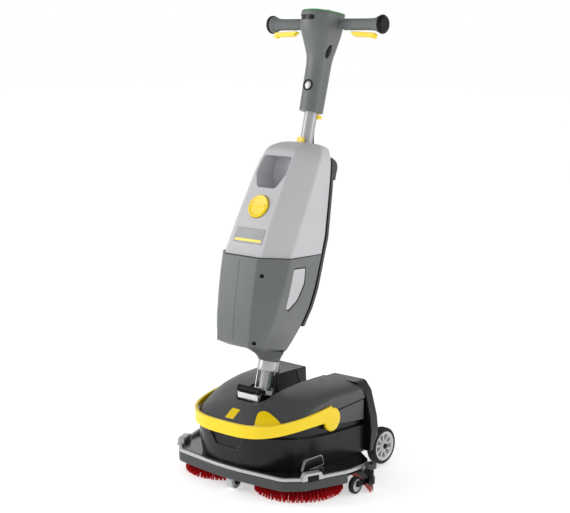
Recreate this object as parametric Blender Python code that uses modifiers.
"""Walk-behind scrubber dryer: a low deck with two disc brushes, a slide-out dirty water tank
with a bail handle, and a leaning column that carries the fresh water tank and the T handle.

Metres, +Z up, the front faces -Y. The origin is on the floor under the middle of the machine.
Deck pieces are placed from the line through both brush axes. Column pieces are placed in the
column's own frame: its origin is the column pivot, its Z runs up the mast, -Y is its front.
"""

import math

import bmesh
import bpy
from mathutils import Matrix, Vector

# Driving dimensions
BRUSH_LINE_Y = -0.0864      # the brush axes, seen from the middle of the machine's length
BRUSH_X = 0.119
BRUSH_RADIUS = 0.115
BRISTLE_TOP = 0.032
GAP = 0.0004                # between pieces that rest on each other

PAN_BOTTOM = 0.0455
PAN_TOP = 0.053             # the level rear of the tray that the tank rests on
TRAY_FRONT = (-0.124, 0.068)    # the tray falls from here to its level rear
TRAY_SLOPE = -0.0825
BUMPER_BOTTOM = 0.035
BUMPER_TOP = 0.059
BUMPER_WIDTH = 0.010
BUMPER_REAR = 0.030
RIM_TOP = 0.0675
RIM_REAR = 0.125

TANK_HALF = 0.1647          # the dirty water tank where it meets its lid
TANK_FRONT = -0.138
TANK_MIDDLE = 0.0874        # behind it the sides are straight
TANK_REAR = 0.200
TANK_FLARE = 0.060
TANK_POWER = 3.08           # of the superellipse round the front
TANK_FOOT = (0.045, 0.0025, 0.0173)     # height, then how far sides and front are drawn in
TANK_FLOOR = 0.116
TANK_WALL = 0.005
PARTING_FRONT = 0.166       # height of the plane between tank and lid at the tank's front
PARTING_SLOPE = 0.085
CHANNEL_HALF = 0.048        # the slot round the pivot, open to the rear
CHANNEL_FRONT = -0.066
REAR_LEAN = 0.43            # of the joint between the lid and the housing behind it
MOTOR_RADIUS = 0.028
MOTOR_BOTTOM = 0.0605
MOTOR_TOP = 0.1065

BAIL_PIVOT = (0.0676, 0.1687)
BAIL_OUT = 0.0083           # its outer face, outside the tank
BAIL_THICKNESS = 0.006
BAIL_DISC = 0.0295

WHEEL_RADIUS = 0.048
WHEEL_X = 0.172
AXLE = (0.271, 0.0515)
SUPPORT_WHEEL = (0.251, 0.058, 0.0215)
SQUEEGEE_END = (0.277, 0.092)
SQUEEGEE_SAG = 0.108        # how far the middle lies behind the ends

PIVOT_HEIGHT = 0.200
COLUMN_LEAN = math.radians(14.85)
MAST_RADIUS = 0.0185
TUBE_RADIUS = 0.0162
COLUMN_REAR = 0.022         # the column body's flat rear, behind the mast's axis
SEAM = 0.346                # up the mast, where the fresh tank meets the lower housing
SEAM_FRONT = -0.172
SEAM_SLOPE = 0.206
CAP_HEIGHT = 0.472
HEAD_BOTTOM = 0.736
HEAD_TOP = 0.990            # at the head's rear
HEAD_REAR = 0.031
TOP_TILT = math.radians(6.84)
HEAD_SPLIT = 0.006          # the plane between the head's shells, behind the mast's axis
BAR_HEIGHT = 0.961
BAR_RADIUS = 0.010
TRIGGER_X = 0.088           # its pivot
TRIGGER_TRAVEL = math.radians(3)

COLOURS = {                 # red, green, blue, roughness, metallic
    "light_grey": (0.60, 0.59, 0.62, 0.45, 0.0),
    "mid_grey": (0.19, 0.20, 0.20, 0.5, 0.0),
    "dark_grey": (0.07, 0.075, 0.08, 0.5, 0.0),
    "black": (0.015, 0.015, 0.017, 0.3, 0.0),
    "rubber": (0.03, 0.03, 0.032, 0.8, 0.0),
    "yellow": (0.95, 0.68, 0.0, 0.4, 0.0),
    "red": (0.65, 0.01, 0.02, 0.6, 0.0),
    "green": (0.02, 0.35, 0.05, 0.4, 0.0),
    "steel": (0.60, 0.60, 0.62, 0.3, 1.0),
    "silver_plastic": (0.55, 0.56, 0.58, 0.35, 0.2),
    "clear_grey": (0.75, 0.75, 0.77, 0.3, 0.0),
}
SIDES = (("right", -1), ("left", 1))    # the operator's right and left, looking along -Y


# Tools -------------------------------------------------------------------------------------

def collection(name):
    made = bpy.data.collections.new(name)
    bpy.context.scene.collection.children.link(made)
    return made


def clear_scene():
    for old in list(bpy.data.objects):
        bpy.data.objects.remove(old, do_unlink=True)


clear_scene()
PARTS = collection("floor_scrubber")
TOOLS = collection("cutters")


def material(name):
    made = bpy.data.materials.get(name)
    if made is None:
        red, green, blue, roughness, metallic = COLOURS[name]
        made = bpy.data.materials.new(name)
        made.use_nodes = True
        shader = made.node_tree.nodes["Principled BSDF"]
        shader.inputs["Base Color"].default_value = (red, green, blue, 1.0)
        shader.inputs["Roughness"].default_value = roughness
        shader.inputs["Metallic"].default_value = metallic
    return made


def empty(name, location, parent=None, rotation=(0, 0, 0)):
    made = bpy.data.objects.new(name, None)
    made.location = location
    made.rotation_euler = rotation
    made.parent = parent
    PARTS.objects.link(made)
    return made


def place(name, mesh, colour, parent, location=(0, 0, 0), rotation=(0, 0, 0)):
    """One named sub-part from a mesh, shaded smooth with sharp edges kept."""
    made = bpy.data.objects.new(name, mesh)
    mesh.materials.append(material(colour))
    mesh.shade_smooth()
    mesh.set_sharp_from_angle(angle=math.radians(35))
    made.parent = parent
    made.location = location
    made.rotation_euler = rotation
    PARTS.objects.link(made)
    return made


def finished(name, working):
    bmesh.ops.recalc_face_normals(working, faces=working.faces)
    if working.calc_volume(signed=True) < 0:
        bmesh.ops.reverse_faces(working, faces=working.faces)
    mesh = bpy.data.meshes.new(name)
    working.to_mesh(mesh)
    working.free()
    return mesh


def box_mesh(name, size, centre=(0, 0, 0)):
    working = bmesh.new()
    bmesh.ops.create_cube(working, size=1.0)
    bmesh.ops.scale(working, vec=size, verts=working.verts)
    bmesh.ops.translate(working, vec=centre, verts=working.verts)
    return finished(name, working)


def cylinder_mesh(name, radius, length, centre=(0, 0, 0), axis="Z", sides=24):
    working = bmesh.new()
    bmesh.ops.create_cone(
        working, cap_ends=True, segments=sides, depth=length, radius1=radius, radius2=radius)
    turns = {"X": Matrix.Rotation(math.pi / 2, 3, "Y"), "Y": Matrix.Rotation(-math.pi / 2, 3, "X")}
    if axis in turns:
        bmesh.ops.rotate(working, matrix=turns[axis], verts=working.verts)
    bmesh.ops.translate(working, vec=centre, verts=working.verts)
    return finished(name, working)


def loft_mesh(name, rings):
    """Closed rings of equal length, skinned in order, with the first and last ring capped."""
    working = bmesh.new()
    rows = [[working.verts.new(point) for point in ring] for ring in rings]
    for low, high in zip(rows, rows[1:]):
        for i in range(len(low)):
            j = (i + 1) % len(low)
            working.faces.new((low[i], low[j], high[j], high[i]))
    working.faces.new(list(reversed(rows[0])))
    working.faces.new(rows[-1])
    return finished(name, working)


def prism_mesh(name, outline, bottom, top):
    return loft_mesh(name, [[(x, y, z) for x, y in outline] for z in (bottom, top)])


def turned(name, profile, colour, parent, location=(0, 0, 0), rotation=(0, 0, 0), steps=28,
           closed=False):
    """A Screw modifier on (radius, height) points that run down the outer side."""
    mesh = bpy.data.meshes.new(name)
    edges = [(i, i + 1) for i in range(len(profile) - 1)]
    if closed:
        edges.append((len(profile) - 1, 0))
    mesh.from_pydata([(radius, 0, height) for radius, height in profile], edges, [])
    made = place(name, mesh, colour, parent, location, rotation)
    screw = made.modifiers.new("Turn", "SCREW")
    screw.steps = screw.render_steps = steps
    screw.use_merge_vertices = True
    screw.merge_threshold = 0.00001
    screw.use_smooth_shade = True
    return made


def tube(name, points, radius, colour, parent):
    """A round hose or cable along a line through these points."""
    line = bpy.data.curves.new(name, "CURVE")
    line.dimensions = "3D"
    line.bevel_depth = radius
    line.bevel_resolution = 2
    line.use_fill_caps = True
    spline = line.splines.new("POLY")
    spline.points.add(len(points) - 1)
    for target, point in zip(spline.points, points):
        target.co = (*point, 1.0)
    line.materials.append(material(colour))
    made = bpy.data.objects.new(name, line)
    made.parent = parent
    PARTS.objects.link(made)
    return made


def bevelled(piece, width, segments=2):
    edge = piece.modifiers.new("Bevel", "BEVEL")
    edge.width = width
    edge.segments = segments
    edge.limit_method = "ANGLE"
    edge.angle_limit = math.radians(40)
    return piece


def cut(piece, mesh, operation="DIFFERENCE", location=(0, 0, 0), rotation=(0, 0, 0)):
    """Takes a mesh, placed in the piece's parent's frame, out of a piece."""
    tool = bpy.data.objects.new(f"{piece.name}_{mesh.name}", mesh)
    tool.hide_render = True
    tool.display_type = "WIRE"
    tool.parent = piece.parent
    tool.location = location
    tool.rotation_euler = rotation
    TOOLS.objects.link(tool)
    change = piece.modifiers.new(mesh.name, "BOOLEAN")
    change.object = tool
    change.operation = operation
    return piece


def join(piece, mesh, location=(0, 0, 0), rotation=(0, 0, 0)):
    return cut(piece, mesh, "UNION", location, rotation)


def rounded(corners, steps=3):
    """A closed outline of (x, y) points through (x, y, radius) corners, each one an arc."""
    outline = []
    for i, (x, y, radius) in enumerate(corners):
        here = Vector((x, y))
        back = (Vector(corners[i - 1][:2]) - here).normalized()
        ahead = (Vector(corners[(i + 1) % len(corners)][:2]) - here).normalized()
        half = back.angle(ahead) / 2
        centre = here + (back + ahead).normalized() * radius / math.sin(half)
        spoke = here + back * radius / math.tan(half) - centre
        last = here + ahead * radius / math.tan(half) - centre
        turn = math.atan2(spoke.x * last.y - spoke.y * last.x, spoke.dot(last))
        for k in range(steps + 1):
            angle = turn * k / steps
            outline.append((
                centre.x + spoke.x * math.cos(angle) - spoke.y * math.sin(angle),
                centre.y + spoke.x * math.sin(angle) + spoke.y * math.cos(angle)))
    return outline


def both_sides(left):
    """Corners at +X, front to back, with their mirror images at -X."""
    return left + [(-x, y, radius) for x, y, radius in reversed(left) if x != 0]


def grown(outline, distance):
    """The outline moved outwards, or inwards where the distance is negative."""
    moved = []
    for i, here in enumerate(outline):
        before = Vector(here) - Vector(outline[i - 1])
        after = Vector(outline[(i + 1) % len(outline)]) - Vector(here)
        normal_before = Vector((before.y, -before.x)).normalized()
        normal_after = Vector((after.y, -after.x)).normalized()
        mitre = (normal_before + normal_after).normalized()
        moved.append(tuple(Vector(here) + mitre * distance / max(0.5, mitre.dot(normal_before))))
    return moved


def band_mesh(name, outer, inner, bottom, top, rear):
    """The stretch in front of y = rear of the ring between two outlines that match."""
    kept = [i for i, (x, y) in enumerate(outer) if y <= rear]
    first = next(i for i in kept if (i - 1) % len(outer) not in kept)
    order = [(first + k) % len(outer) for k in range(len(kept))]
    shape = [outer[i] for i in order] + [inner[i] for i in reversed(order)]
    return prism_mesh(name, shape, bottom, top)


def between(stations, place_along):
    """Linear interpolation in a table of (position, value) rows."""
    for (p0, v0), (p1, v1) in zip(stations, stations[1:]):
        if place_along <= p1:
            return v0 + (v1 - v0) * (place_along - p0) / (p1 - p0)
    return stations[-1][1]


# Deck --------------------------------------------------------------------------------------

def deck_outline(distance=0.0):
    return grown(rounded(both_sides([
        (0, -0.1445, 0.60), (0.172, -0.1250, 0.035), (0.211, -0.088, 0.035),
        (0.232, -0.036, 0.120), (0.256, 0.030, 0.100), (0.258, 0.100, 0.035),
        (0.222, 0.165, 0.035), (0.165, 0.205, 0.035)])), distance)


def below_tray(lift=0.0):
    """Everything under the tray's surface: it falls from the front and is level at the rear."""
    (y, z), depth, reach = TRAY_FRONT, -0.10, 0.30
    level_from = y + (PAN_TOP - z) / TRAY_SLOPE
    side = [(-reach, depth), (-reach, z + TRAY_SLOPE * (-reach - y) + lift),
            (level_from, PAN_TOP + lift), (reach, PAN_TOP + lift), (reach, depth)]
    return loft_mesh("below_tray", [[(x, py, pz) for py, pz in side] for x in (-reach, reach)])


def build_deck(deck):
    pan = place("chassis_pan", prism_mesh(
        "chassis_pan", deck_outline(-BUMPER_WIDTH - 0.0005), PAN_BOTTOM, 0.09), "black", deck)
    cut(pan, below_tray(), "INTERSECT")
    y, z = AXLE
    join(pan, box_mesh("tail", (0.300, 0.062, PAN_TOP - PAN_BOTTOM)),
         location=(0, 0.221, (PAN_TOP + PAN_BOTTOM) / 2))
    join(pan, box_mesh("axle_carrier", (0.300, 0.038, 0.018)), location=(0, y, z))
    cut(pan, cylinder_mesh("axle_bore", 0.0066, 0.4, axis="X"), location=(0, y, z))
    bumper = place("bumper", band_mesh(
        "bumper", deck_outline(), deck_outline(-BUMPER_WIDTH), BUMPER_BOTTOM, BUMPER_TOP,
        BUMPER_REAR), "mid_grey", deck)
    bevelled(bumper, 0.002)
    rim = place("deck_rim", band_mesh(
        "deck_rim", deck_outline(-0.0005), deck_outline(-BUMPER_WIDTH), BUMPER_TOP + GAP,
        RIM_TOP, RIM_REAR), "silver_plastic", deck)
    for side, sign in SIDES:
        join(rim, box_mesh(f"clip_{side}", (0.052, 0.017, 0.0125)),
             location=(sign * 0.2145, -0.0640, 0.0720), rotation=(0, 0, sign * math.radians(68)))
        cut(pan, cylinder_mesh("spindle_hole", 0.0125, 0.08), location=(sign * BRUSH_X, 0, 0.06))
        cut(pan, box_mesh("wheel_room", (0.022, 0.060, 0.03)),
            location=(sign * SUPPORT_WHEEL[0], SUPPORT_WHEEL[1], 0.050))


def build_brushes(deck):
    holder = [(0, 0.0595), (0.0105, 0.0595), (0.0105, 0.0440), (0.030, 0.0425), (0.034, 0.0400),
              (0.104, 0.0375), (0.106, BRISTLE_TOP + GAP), (0, BRISTLE_TOP + GAP)]
    bristles = [(0, BRISTLE_TOP), (0.104, BRISTLE_TOP), (BRUSH_RADIUS, 0.0), (0, 0.0)]
    height = MOTOR_TOP - MOTOR_BOTTOM
    for side, sign in SIDES:
        axis = empty(f"brush_axis_{side}", (sign * BRUSH_X, 0, 0), deck)
        turned(f"brush_holder_{side}", holder, "black", axis)
        turned(f"brush_bristles_{side}", bristles, "red", axis, steps=36)
        motor = cylinder_mesh("motor", MOTOR_RADIUS, height, (0, 0, MOTOR_BOTTOM + height / 2))
        place(f"brush_motor_{side}", motor, "steel", axis)


def rear_ring(foot, lean, squeeze):
    """A section of the rear housing: two lobes with the mast's channel between them."""
    bottom = PAN_TOP + GAP
    lobe = [(CHANNEL_HALF, 0.125), (CHANNEL_HALF, 0.2335), (0.150, 0.2345), (0.158, 0.2320),
            (0.175, 0.210), (0.191, 0.145), (0.194, 0.110), (0.190, bottom)]
    right = [(x * squeeze if x > CHANNEL_HALF else x, foot - lean * (z - bottom), z)
             for x, z in lobe]
    return right + [(-x, y, z) for x, y, z in reversed(right)]


def ahead_of_joint():
    """Everything in front of the joint between tank and lid, and the housing behind them."""
    face, joint, top, reach = TANK_REAR + 0.0035, parting(TANK_REAR), 0.30, 0.30
    side = [(0, 0), (face, 0), (face, joint), (face - REAR_LEAN * (top - joint), top), (0, top)]
    return loft_mesh("ahead_of_joint", [[(x, y, z) for y, z in side] for x in (-reach, reach)])


def build_rear_housing(deck):
    housing = place("rear_housing", loft_mesh("rear_housing", [
        rear_ring(0.150, 0.0, 1.0), rear_ring(0.241, 0.06, 0.965)]), "black", deck)
    cut(housing, ahead_of_joint())
    y, z = AXLE
    bay_y, pieces_y = 0.205, 0.211
    for side, sign in SIDES:
        cut(housing, box_mesh("bay", (0.094, 0.034, 0.098)), location=(sign * 0.108, bay_y, 0.160))
        cut(housing, cylinder_mesh("wheel_arch", WHEEL_RADIUS + 0.003, 0.060, axis="X", sides=32),
            location=(sign * (WHEEL_X + 0.0155), y, z))
    turbine = cylinder_mesh("turbine", 0.036, 0.014, axis="Y")
    place("suction_turbine", turbine, "steel", deck, (0.108, pieces_y, 0.155))
    pump = place("water_pump", box_mesh("pump", (0.050, 0.014, 0.060)), "dark_grey", deck,
                 (-0.108, pieces_y, 0.150))
    bevelled(pump, 0.003)


def build_rear_wheels(deck):
    y, z = AXLE
    place("rear_axle", cylinder_mesh("axle", 0.0060, 0.374, axis="X"), "steel", deck, (0, y, z))
    rim = [(0.0068, 0.0125), (0.012, 0.0125), (0.014, 0.0085), (0.031, 0.0085), (0.036, 0.0120),
           (0.0385, 0.0120), (0.0385, -0.0120), (0.036, -0.0120), (0.031, -0.0085),
           (0.014, -0.0085), (0.012, -0.0125), (0.0068, -0.0125)]
    tyre = [(0.0388, 0.0125), (0.0445, 0.0125), (WHEEL_RADIUS, 0.0075), (WHEEL_RADIUS, -0.0075),
            (0.0445, -0.0125), (0.0388, -0.0125)]
    for side, sign in SIDES:
        hub = empty(f"wheel_axis_{side}", (sign * WHEEL_X, y, z), deck, (0, sign * math.pi / 2, 0))
        turned(f"wheel_rim_{side}", rim, "silver_plastic", hub, closed=True)
        turned(f"wheel_tyre_{side}", tyre, "rubber", hub, closed=True)


def squeegee_band(half_width, lean=0.0, count=15):
    """A curved strip seen from above: along its front side and back along its rear."""
    end_x, end_y = SQUEEGEE_END
    middle = []
    for k in range(count):
        share = 2 * k / (count - 1) - 1
        middle.append((end_x * share, end_y + SQUEEGEE_SAG * (1 - share * share) + lean))
    front = [(x, y - half_width) for x, y in middle]
    rear = [(x, y + half_width) for x, y in middle]
    return front + rear[::-1]


def build_squeegee(deck):
    body = place("squeegee_body", prism_mesh("squeegee_body", squeegee_band(0.011), 0.0185, 0.0365),
                 "black", deck)
    place("squeegee_front_blade", prism_mesh("blade", squeegee_band(0.0018, -0.0050), 0.0, 0.0180),
          "red", deck)
    place("squeegee_rear_blade", prism_mesh("blade", squeegee_band(0.0018, 0.0050), 0.0, 0.0180),
          "clear_grey", deck)
    wheel_x, wheel_y, radius = SUPPORT_WHEEL
    wheel = [(0.0044, 0.0065), (0.019, 0.0065), (radius, 0.0045), (radius, -0.0045),
             (0.019, -0.0065), (0.0044, -0.0065)]
    roller = [(0.0044, 0.0065), (0.0140, 0.0065), (0.0140, -0.0065), (0.0044, -0.0065)]
    post_x, post_y = SQUEEGEE_END[0] - 0.0045, SQUEEGEE_END[1]
    for side, sign in SIDES:
        join(body, box_mesh(f"arm_{side}", (0.006, 0.052, 0.012)),
             location=(sign * (wheel_x + 0.0112), wheel_y + 0.020, 0.0265))
        join(body, cylinder_mesh(f"stub_{side}", 0.0038, 0.018, axis="X", sides=16),
             location=(sign * (wheel_x + 0.003), wheel_y, radius))
        join(body, cylinder_mesh(f"post_{side}", 0.0038, 0.046, sides=16),
             location=(sign * post_x, post_y, 0.0525))
        join(body, cylinder_mesh(f"post_foot_{side}", 0.0075, 0.030, sides=16),
             location=(sign * post_x, post_y, 0.0445))
        turned(f"support_wheel_{side}", wheel, "silver_plastic", deck,
               (sign * wheel_x, wheel_y, radius), (0, math.pi / 2, 0), closed=True, steps=24)
        turned(f"guide_roller_{side}", roller, "dark_grey", deck,
               (sign * post_x, post_y, 0.0668), closed=True, steps=24)


def build_nose_wheel(deck):
    height, radius, y = 0.0182, 0.0180, -0.108
    fork = place("nose_fork", box_mesh("fork", (0.032, 0.022, 0.005)), "dark_grey", deck,
                 (0.0, y, PAN_BOTTOM - GAP - 0.0025))
    for side, sign in SIDES:
        join(fork, box_mesh(f"cheek_{side}", (0.004, 0.014, 0.030)), location=(sign * 0.0135, y, 0.0275))
    join(fork, cylinder_mesh("pin", 0.0030, 0.029, axis="X", sides=16), location=(0, y, height))
    wheel = [(0.0034, 0.0105), (0.0165, 0.0105), (radius, 0.0090), (radius, -0.0090),
             (0.0165, -0.0105), (0.0034, -0.0105)]
    turned("nose_wheel", wheel, "silver_plastic", deck, (0, y, height), (0, math.pi / 2, 0),
           closed=True, steps=24)


def build_pivot_bracket(deck):
    bracket = place("pivot_bracket", box_mesh("base", (0.080, 0.100, 0.028), (0, -0.010, 0.058)),
                    "steel", deck)
    join(bracket, box_mesh("front_plate", (0.066, 0.006, 0.175)), location=(0, -0.0520, 0.1415))
    for side, sign in SIDES:
        cheek = [(-0.018, 0.068), (0.018, 0.068), (0.0105, 0.2030), (0.006, 0.2105),
                 (-0.006, 0.2105), (-0.0105, 0.2030)]
        plate = loft_mesh(f"cheek_{side}", [[(x, y, z) for y, z in cheek] for x in (-0.0035, 0.0035)])
        join(bracket, plate, location=(sign * 0.0300, 0, 0))
    cut(bracket, cylinder_mesh("pitch_bore", 0.0054, 0.10, axis="X"), location=(0, 0, PIVOT_HEIGHT))
    cut(bracket, below_tray(GAP))
    barrel = place("pivot_barrel", cylinder_mesh("barrel", 0.0085, 0.072, axis="X"), "black", deck,
                   (0, -0.0480, 0.2385))
    bevelled(barrel, 0.0015)


# Dirty water tank --------------------------------------------------------------------------

def tank_outline(side_inset=0.0, front_inset=0.0, rear_inset=0.0, steps=24):
    """From above: a superellipse round the front, then straight sides that spread rearwards."""
    half = TANK_HALF - side_inset
    depth = TANK_MIDDLE - TANK_FRONT - front_inset
    outline = []
    for k in range(steps + 1):
        angle = math.pi * k / steps
        x = half * math.copysign(abs(math.cos(angle)) ** (2 / TANK_POWER), math.cos(angle))
        outline.append((x, TANK_MIDDLE - depth * math.sin(angle) ** (2 / TANK_POWER)))
    rear = TANK_REAR - rear_inset
    corner = half + TANK_FLARE * (rear - TANK_MIDDLE)
    return outline + [(-corner, rear), (corner, rear)]


def tank_half(y):
    if y > TANK_MIDDLE:
        return TANK_HALF + TANK_FLARE * (y - TANK_MIDDLE)
    ratio = (TANK_MIDDLE - y) / (TANK_MIDDLE - TANK_FRONT)
    return TANK_HALF * (1 - ratio ** TANK_POWER) ** (1 / TANK_POWER)


def well_outline():
    """The tank's inside from above: a U round the pivot's channel."""
    inner = CHANNEL_HALF + TANK_WALL
    front = CHANNEL_FRONT - TANK_WALL
    outside = tank_outline(TANK_WALL + 0.0015, TANK_WALL + 0.020, TANK_WALL)
    rear = outside[-1][1]
    notch = [(-inner, rear), (-inner, front), (inner, front), (inner, rear)]
    return outside[:-1] + notch + outside[-1:]


def parting(y):
    return PARTING_FRONT + PARTING_SLOPE * (y - TANK_FRONT)


def slot_mesh(name, centre, half, front, radius, bottom, top):
    """A slot that is open to the rear, with round corners at its front."""
    corners = [(centre + half, front, radius), (centre + half, 0.30, 0.001),
               (centre - half, 0.30, 0.001), (centre - half, front, radius)]
    return prism_mesh(name, rounded(corners, 4), bottom, top)


def channel_mesh():
    return slot_mesh("channel", 0, CHANNEL_HALF, CHANNEL_FRONT, 0.020, 0.02, 0.42)


def build_tank(deck):
    height, side_inset, front_inset = TANK_FOOT
    tank = place("dirty_water_tank", loft_mesh("dirty_water_tank", [
        [(x, y, height) for x, y in tank_outline(side_inset, front_inset)],
        [(x, y, parting(y)) for x, y in tank_outline()]]), "black", deck)
    cut(tank, below_tray(GAP))
    cut(tank, prism_mesh("well", well_outline(), TANK_FLOOR, 0.26))
    cut(tank, channel_mesh())
    half = MOTOR_RADIUS + 0.003
    for side, sign in SIDES:
        cut(tank, slot_mesh("motor_tunnel", sign * BRUSH_X, half, -half, half - 0.001, 0.03,
                            MOTOR_TOP + 0.004))
    cut(tank, box_mesh("finger_recess", (0.096, 0.036, 0.030)), location=(0, -0.136, 0.127))


LID_SECTIONS = (            # y, height of the crest, power of the superellipse
    (-0.1365, 0.1690, 2.0), (-0.130, 0.1765, 2.0), (-0.120, 0.1840, 2.0), (-0.106, 0.1935, 2.0),
    (-0.085, 0.2045, 2.0), (-0.061, 0.2140, 2.0), (-0.040, 0.2200, 2.2), (-0.015, 0.2260, 2.6),
    (0.020, 0.2305, 3.5), (0.055, 0.2335, 4.2), (0.090, 0.2355, 4.8), (0.140, 0.2360, 4.8),
    (TANK_REAR, 0.2350, 4.8))


def lid_point(section, angle, inset=0.0):
    """A point on the domed lid's section at y, from one side (0) over the crest to the other."""
    y, crest, power = section
    low = parting(y) + 2 * GAP
    x = (tank_half(y) - inset) * math.copysign(abs(math.cos(angle)) ** (2 / power), math.cos(angle))
    z = low + (crest - inset - low) * abs(math.sin(angle)) ** (2 / power)
    if y == TANK_REAR:
        y -= inset + REAR_LEAN * max(0.0, z - low)
    return (x, y, z)


def lobe_room(sign):
    """The hollow under one lobe of the lid, open at the bottom."""
    inner = CHANNEL_HALF + TANK_WALL
    rings = []
    for section in LID_SECTIONS[6:]:
        arch = [lid_point(section, math.radians(d), TANK_WALL) for d in (4, 12, 22, 35, 50, 60)]
        (side, y, low), (x, top_y, top) = arch[0], arch[-1]
        ring = [(side, y, low - 0.02)] + arch + [(inner, top_y, top), (inner, y, low - 0.02)]
        rings.append([(sign * px, py, pz) for px, py, pz in ring])
    return loft_mesh("lobe_room", rings)


def build_lid(deck):
    angles = [math.pi * k / 16 for k in range(17)]
    lid = place("tank_lid", loft_mesh("tank_lid", [
        [lid_point(section, angle) for angle in angles] for section in LID_SECTIONS]),
        "dark_grey", deck)
    for side, sign in SIDES:
        cut(lid, lobe_room(sign))
    cut(lid, channel_mesh())


def bail_edges(y):
    """Heights of the bail's lower and upper edge: it is deepest in front."""
    share = (y - TANK_FRONT + BAIL_OUT) / 0.15
    return 0.1493 + 0.0318 * share - 0.0147 * share ** 2, 0.1809 + 0.0166 * share


def build_bail(deck):
    """The carrying handle: a band round the tank's front, hinged at a disc on each side."""
    pivot_y, pivot_z = BAIL_PIVOT
    pivot = empty("bail_axis", (0, pivot_y, pivot_z), deck)
    outer = tank_outline(-BAIL_OUT, -BAIL_OUT, steps=36)
    inner = tank_outline(BAIL_THICKNESS - BAIL_OUT, BAIL_THICKNESS - BAIL_OUT, steps=36)
    kept = [i for i in range(len(outer)) if outer[i][1] < TANK_MIDDLE - 0.012]
    shape = [outer[i] for i in kept] + [inner[i] for i in reversed(kept)]
    band = loft_mesh("bail_handle", [
        [(x, y - pivot_y, bail_edges(y)[edge] - pivot_z) for x, y in shape] for edge in (0, 1)])
    bail = place("bail_handle", band, "yellow", pivot)
    for side, sign in SIDES:
        join(bail, cylinder_mesh(f"disc_{side}", BAIL_DISC, 0.0072, axis="X", sides=32),
             location=(sign * (TANK_HALF + BAIL_OUT - 0.0030), 0, 0))


# Column ------------------------------------------------------------------------------------

HOUSING_SECTIONS = (        # height, front half width, front, side half width, side, rear half
    (0.1280, 0.040, 0.120, 0.052, 0.080, 0.026),
    (0.1350, 0.052, 0.148, 0.078, 0.115, 0.034),
    (0.1650, 0.0531, 0.153, 0.0852, 0.1207, 0.050),
    (0.2000, 0.0543, 0.159, 0.0943, 0.1190, 0.066),
    (0.2500, 0.0550, 0.165, 0.1015, 0.1186, 0.082),
    (0.3000, 0.0560, 0.169, 0.1085, 0.1164, 0.090),
    (SEAM - GAP, 0.0570, 0.1715, 0.1115, 0.1160, 0.094),
)
TANK_SECTIONS = (
    (SEAM + GAP, 0.0580, 0.1620, 0.1085, 0.1115, 0.0930),
    (0.4310, 0.0554, 0.1462, 0.1068, 0.0945, 0.0945),
    (0.5480, 0.0521, 0.1150, 0.1020, 0.0652, 0.083),
    (0.6020, 0.0500, 0.0973, 0.0974, 0.0500, 0.076),
    (0.6280, 0.0450, 0.0860, 0.0860, 0.0380, 0.070),
    (0.6470, 0.0380, 0.0520, 0.0700, 0.0220, 0.060),
    (0.6540, 0.0240, 0.0280, 0.0480, 0.0100, 0.046),
)
WINDOW = ((0.0940, 0.3345, 0.003), (0.0456, 0.3432, 0.004), (0.0360, 0.3070, 0.035),
          (0.0458, 0.2630, 0.035), (0.0825, 0.2237, 0.004))     # depth, height, corner radius


def column_ring(section, inset=0.0, rear=COLUMN_REAR):
    """The column's section: a chamfered front, and tilted where it lies on the slanted seam."""
    height, front_half, front, side_half, side, rear_half = section
    slope = SEAM_SLOPE if abs(height - SEAM) < 0.01 else 0.0
    corners = both_sides([
        (front_half, -front, 0.010), (side_half, -side, 0.012), (rear_half, rear, 0.006)])
    return [(x, y, height + slope * (y - SEAM_FRONT)) for x, y in grown(rounded(corners, 2), -inset)]


def front_at(height):
    return between([(s[0], s[2]) for s in TANK_SECTIONS], height)


def side_at(height, depth):
    """Half width of the lower housing's side at a height and at a depth in front of the mast."""
    side_half = between([(s[0], s[3]) for s in HOUSING_SECTIONS], height)
    side = between([(s[0], s[4]) for s in HOUSING_SECTIONS], height)
    rear_half = between([(s[0], s[5]) for s in HOUSING_SECTIONS], height)
    return rear_half + (side_half - rear_half) * (depth + COLUMN_REAR) / (side + COLUMN_REAR)


def window_mesh(name, margin, lift, depth):
    """The leaf-shaped level window in the housing's left side, grown by a margin."""
    leaf = grown(rounded(WINDOW), margin)
    return loft_mesh(name, [
        [(side_at(height, front) + offset, -front, height) for front, height in leaf]
        for offset in (lift - depth, lift)])


def build_lower_housing(column):
    outer = [column_ring(s) for s in HOUSING_SECTIONS]
    inner = [column_ring(s, 0.003) for s in reversed(HOUSING_SECTIONS[1:])]
    inner[-1] = [(x, y, z + 0.004) for x, y, z in inner[-1]]
    shell = place("lower_housing", loft_mesh("lower_housing", outer + inner), "mid_grey", column)
    cut(shell, cylinder_mesh("mast_hole", MAST_RADIUS + GAP, 0.06, (0, 0, 0.13)))
    cut(shell, window_mesh("window_hole", 0.0006, 0.010, 0.030))
    bevelled(place("level_window", window_mesh("level_window", 0.0, 0.0004, 0.0030),
                   "clear_grey", column), 0.0005, 1)
    pack = box_mesh("battery_pack", (0.086, 0.075, 0.150))
    bevelled(place("battery_pack", pack, "black", column, (0, -0.105, 0.225)), 0.003)


def build_neck(column):
    """The collar round the mast's foot, which flares to meet the housing's underside."""
    rings = []
    for height, half, front, rear in (
            (0.0750, 0.0240, 0.0240, 0.0240), (0.0780, 0.0265, 0.0265, 0.0265),
            (0.0980, 0.0265, 0.0265, 0.0265), (0.1120, 0.0290, 0.0380, 0.0250),
            (0.1275, 0.0370, 0.0620, 0.0232)):
        ring = []
        for k in range(24):
            angle = 2 * math.pi * k / 24
            reach = rear if math.sin(angle) > 0 else front
            ring.append((half * math.cos(angle), reach * math.sin(angle), height))
        rings.append(ring)
    neck = place("column_neck", loft_mesh("column_neck", rings), "silver_plastic", column)
    cut(neck, cylinder_mesh("mast_hole", MAST_RADIUS + GAP, 0.08, (0, 0, 0.100)))


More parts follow.
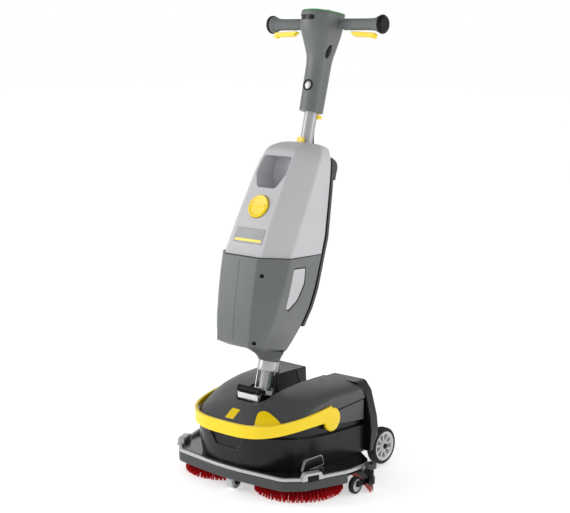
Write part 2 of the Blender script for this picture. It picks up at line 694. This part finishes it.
def build_fresh_tank(column):
    tank = place("fresh_water_tank", loft_mesh("fresh_water_tank", [
        column_ring(s) for s in TANK_SECTIONS]), "light_grey", column)
    room = [column_ring(TANK_SECTIONS[0], 0.005, -0.030)]
    room[0] = [(x, y, z + 0.006) for x, y, z in room[0]]
    for section in (TANK_SECTIONS[1], (0.5200, 0.050, 0.120, 0.100, 0.070, 0.085)):
        room.append(column_ring(section, 0.005, -0.030))
    cut(tank, loft_mesh("water_room", room))
    cut(tank, box_mesh("mast_groove", (0.045, 0.062, 0.70), (0, 0.0080, 0.50)))
    grip = rounded([(0.046, 0.604, 0.008), (0.050, 0.565, 0.010), (0.027, 0.524, 0.012),
                    (-0.027, 0.524, 0.012), (-0.050, 0.565, 0.010), (-0.046, 0.604, 0.008)], 2)
    cut(tank, loft_mesh("grip_recess", [
        [(x * 0.9, -0.056, z) for x, z in grip], [(x, -0.20, z) for x, z in grip]]))
    lean = math.atan2(front_at(0.4320) - front_at(0.5470), 0.5470 - 0.4320)
    front = front_at(CAP_HEIGHT)
    cut(tank, cylinder_mesh("filler_hole", 0.0255, 0.070, axis="Y"),
        location=(0, -front, CAP_HEIGHT), rotation=(-lean, 0, 0))
    cap = [(0, 0.0065), (0.0280, 0.0065), (0.0295, 0.0050), (0.0295, GAP), (0.0245, GAP),
           (0.0245, -0.010), (0, -0.010)]
    turned("filler_cap", cap, "yellow", column, (0, -front, CAP_HEIGHT), (math.pi / 2 - lean, 0, 0))
    cut(tank, box_mesh("catch_pocket", (0.0212, 0.0125, 0.022)), location=(0, -0.0245, 0.6560))
    catch = place("tank_catch", box_mesh("catch", (0.0200, 0.0080, 0.0170)), "yellow", column,
                  (0, -0.0225, 0.6585))
    bevelled(catch, 0.001, 1)


def build_back(column):
    """The dark strip that closes the column's rear, and the hook for a coiled lead or hose."""
    near, far = COLUMN_REAR + GAP, COLUMN_REAR + 0.018
    rings = []
    for section in HOUSING_SECTIONS[3:-1] + TANK_SECTIONS[1:5]:
        height, wide, narrow = section[0], section[-1] + 0.002, section[-1] - 0.004
        rings.append([(wide, near, height), (narrow, far, height),
                      (-narrow, far, height), (-wide, near, height)])
    place("back_frame", loft_mesh("back_frame", rings), "dark_grey", column)
    hook = place("lead_hook", cylinder_mesh("hook", 0.0230, 0.078, axis="X", sides=24), "dark_grey",
                 column, (0, 0.0720, 0.6080))
    join(hook, box_mesh("stalk", (0.040, 0.026, 0.026)), location=(0, far + GAP + 0.013, 0.6080))
    join(hook, box_mesh("tip", (0.078, 0.010, 0.030)), location=(0, 0.0890, 0.5950))


def build_mast(column):
    mast = [(0, 0.100), (TUBE_RADIUS + GAP, 0.100), (TUBE_RADIUS + GAP, 0.640), (MAST_RADIUS, 0.640),
            (MAST_RADIUS, 0.076), (0.0155, 0.070), (0.0155, 0.026), (0, 0.026)]
    leg = box_mesh("leg", (0.020, 0.0050, 0.042))
    shaft = turned("mast", mast, "steel", column)
    for name, sign in (("front", -1), ("rear", 1)):
        leg_mesh = leg.copy()
        leg_mesh.name = f"leg_{name}"
        join(shaft, leg_mesh, location=(0, sign * 0.0220, 0.0110))
        join(shaft, box_mesh(f"leg_root_{name}", (0.020, 0.014, 0.006)),
             location=(0, sign * 0.0175, 0.0290))
    cut(shaft, cylinder_mesh("roll_bore", 0.0054, 0.10, axis="Y"))


def build_cross(cross):
    block = place("pivot_cross", box_mesh("block", (0.034, 0.034, 0.030)), "dark_grey", cross)
    join(block, cylinder_mesh("pitch_trunnions", 0.0050, 0.066, axis="X"))
    join(block, cylinder_mesh("roll_trunnions", 0.0050, 0.0480, axis="Y"))
    join(block, box_mesh("hose_arm", (0.014, 0.050, 0.0065), (0, 0.0300, -0.0168)))
    join(block, cylinder_mesh("hose_ring", 0.0090, 0.0100, (0, 0.0560, -0.0168), sides=20))
    cut(block, cylinder_mesh("hose_bore", 0.0054, 0.05, (0, 0.0560, -0.0168), sides=20))


# Handle ------------------------------------------------------------------------------------

HEAD_SECTIONS = (           # height, half width, front, rear
    (HEAD_BOTTOM, 0.0280, 0.0300, 0.0280),
    (0.8000, 0.0285, 0.0315, 0.0290),
    (0.8650, 0.0290, 0.0350, 0.0300),
    (0.9000, 0.0370, 0.0500, 0.0305),
    (0.9350, 0.0455, 0.0700, 0.0315),
    (0.9620, 0.0480, 0.0765, 0.0315),
    (HEAD_TOP, 0.0475, 0.0770, HEAD_REAR),
)


def head_ring(section, inset=0.0, lift=0.0, count=28):
    """A soft rectangle across the mast, deeper at the front; the top one is tilted."""
    height, half, front, rear = section
    fall = math.tan(TOP_TILT) if height == HEAD_TOP else 0.0
    points = []
    for k in range(count):
        angle = 2 * math.pi * k / count
        x = math.copysign(abs(math.sin(angle)) ** 0.8, math.sin(angle)) * (half - inset)
        reach = rear if math.cos(angle) > 0 else front
        y = math.copysign(abs(math.cos(angle)) ** 0.8, math.cos(angle)) * (reach - inset)
        points.append((x, y, height + lift + fall * (y - HEAD_REAR)))
    return points


def on_top(y, lift):
    """A place on the head's tilted top, raised along its normal."""
    return (y - lift * math.sin(TOP_TILT),
            HEAD_TOP + math.tan(TOP_TILT) * (y - HEAD_REAR) + lift * math.cos(TOP_TILT))


def build_head(handle):
    first, last = HEAD_SECTIONS[0], HEAD_SECTIONS[-1]
    room = [head_ring(first, 0.0028, -0.01)]
    room += [head_ring(s, 0.0028) for s in HEAD_SECTIONS[1:]]
    room.append(head_ring(last, 0.0028, 0.01))
    for name, sign in (("front", 1), ("rear", -1)):
        shell = place(f"head_{name}_shell", loft_mesh(f"head_{name}", [
            head_ring(s) for s in HEAD_SECTIONS]), "mid_grey", handle)
        cut(shell, loft_mesh("room", room))
        half = box_mesh("half", (0.2, 0.2, 0.5))
        cut(shell, half, location=(0, HEAD_SPLIT + sign * (0.1 - GAP / 2), 0.86))
        cut(shell, cylinder_mesh("bar_hole", BAR_RADIUS + GAP, 0.2, axis="X"),
            location=(0, 0, BAR_HEIGHT))
    tube_ring = [(0.0140, 0.945), (TUBE_RADIUS, 0.945), (TUBE_RADIUS, 0.450), (0.0140, 0.450)]
    turned("upper_tube", tube_ring, "steel", handle, closed=True)
    panel = place("control_panel", loft_mesh("control_panel", [
        head_ring(last, 0.0, GAP), head_ring(last, 0.001, 0.003), head_ring(last, 0.012, 0.006)]),
        "green", handle)
    button = [(0, 0.0050), (0.0070, 0.0050), (0.0080, 0.0040), (0.0080, -0.0060), (0, -0.0060)]
    for name, x in (("power", -0.018), ("mode", 0.018)):
        cut(panel, cylinder_mesh(f"{name}_hole", 0.0088, 0.03), location=(x, *on_top(-0.022, 0)),
            rotation=(TOP_TILT, 0, 0))
        turned(f"{name}_button", button, "black", handle, (x, *on_top(-0.022, 0.0035)),
               (TOP_TILT, 0, 0))
    board = box_mesh("board", (0.062, 0.048, 0.0016))
    place("control_board", board, "green", handle, (0, *on_top(-0.027, -0.0085)), (TOP_TILT, 0, 0))
    latch = place("height_latch", box_mesh("latch", (0.014, 0.0060, 0.032)), "yellow", handle,
                  (0, 0.0212, 0.7360))
    join(latch, box_mesh("paddle", (0.018, 0.014, 0.0085)), location=(0, 0.0280, 0.7285))


def build_bar(handle):
    bar = cylinder_mesh("bar", BAR_RADIUS, 0.344, axis="X")
    place("handlebar", bar, "steel", handle, (0, 0, BAR_HEIGHT))
    inner, outer = 0.060, 0.1735
    for side, sign in SIDES:
        grip = [(BAR_RADIUS + GAP, -outer), (0.0215, -outer), (0.0200, -outer + 0.008),
                (0.0150, -outer + 0.020), (0.0145, -inner - 0.04), (0.0145, -inner),
                (BAR_RADIUS + GAP, -inner)]
        turn = (0, -sign * math.pi / 2, 0)
        turned(f"grip_{side}", grip[::-1], "mid_grey", handle, (0, 0, BAR_HEIGHT), turn, closed=True)
        cap = [(0, 0.0090), (0.0180, 0.0080), (0.0235, 0.0030), (0.0235, -0.0020), (0.0215, -0.0036),
               (0, -0.0036)]
        turned(f"end_cap_{side}", cap, "black", handle, (sign * (outer + 0.0040), 0, BAR_HEIGHT),
               (0, sign * math.pi / 2, 0))
        axis = empty(f"trigger_axis_{side}", (sign * TRIGGER_X, 0, BAR_HEIGHT - 0.0212), handle,
                     (0, sign * TRIGGER_TRAVEL, 0))
        lever = box_mesh("lever", (0.073, 0.014, 0.0055), (sign * 0.0365, 0, 0))
        trigger = place(f"trigger_{side}", lever, "yellow", axis)
        bevelled(trigger, 0.001, 1)
        join(trigger, box_mesh("finger_stop", (0.010, 0.014, 0.0110), (sign * 0.069, 0, -0.0050)))


def build():
    root = empty("floor_scrubber", (0, BRUSH_LINE_Y, 0))
    build_deck(root)
    build_brushes(root)
    build_rear_housing(root)
    build_rear_wheels(root)
    build_squeegee(root)
    build_nose_wheel(root)
    build_pivot_bracket(root)
    build_tank(root)
    build_lid(root)
    build_bail(root)
    column = empty("column", (0, 0, PIVOT_HEIGHT), root, (-COLUMN_LEAN, 0, 0))
    build_cross(column)
    build_mast(column)
    build_neck(column)
    build_lower_housing(column)
    build_fresh_tank(column)
    build_back(column)
    build_head(column)
    build_bar(column)
    tube("hose_upper", [(0, 0.0312, 0.1994), (0, 0.0312, 0.1500), (0, 0.0325, 0.1200), (0, 0.0420, 0.0600),
                        (0, 0.0520, 0.0200), (0, 0.0560, -0.0140)], 0.0047, "rubber", column)
    tube("hose_lower", [(0, 0.0560, -0.0180), (0, 0.0610, -0.0500), (0, 0.0740, -0.0850),
                        (0, 0.0900, -0.1080), (0, 0.0988, -0.1225)], 0.0047, "rubber", column)
    tube("control_cable", [(0, 0.0220, 0.7150), (0, 0.0215, 0.6950), (0, 0.0240, 0.6740),
                           (0, 0.0290, 0.6560), (0, 0.0312, 0.6420), (0, 0.0312, 0.6286)],
         0.0028, "rubber", column)


build()
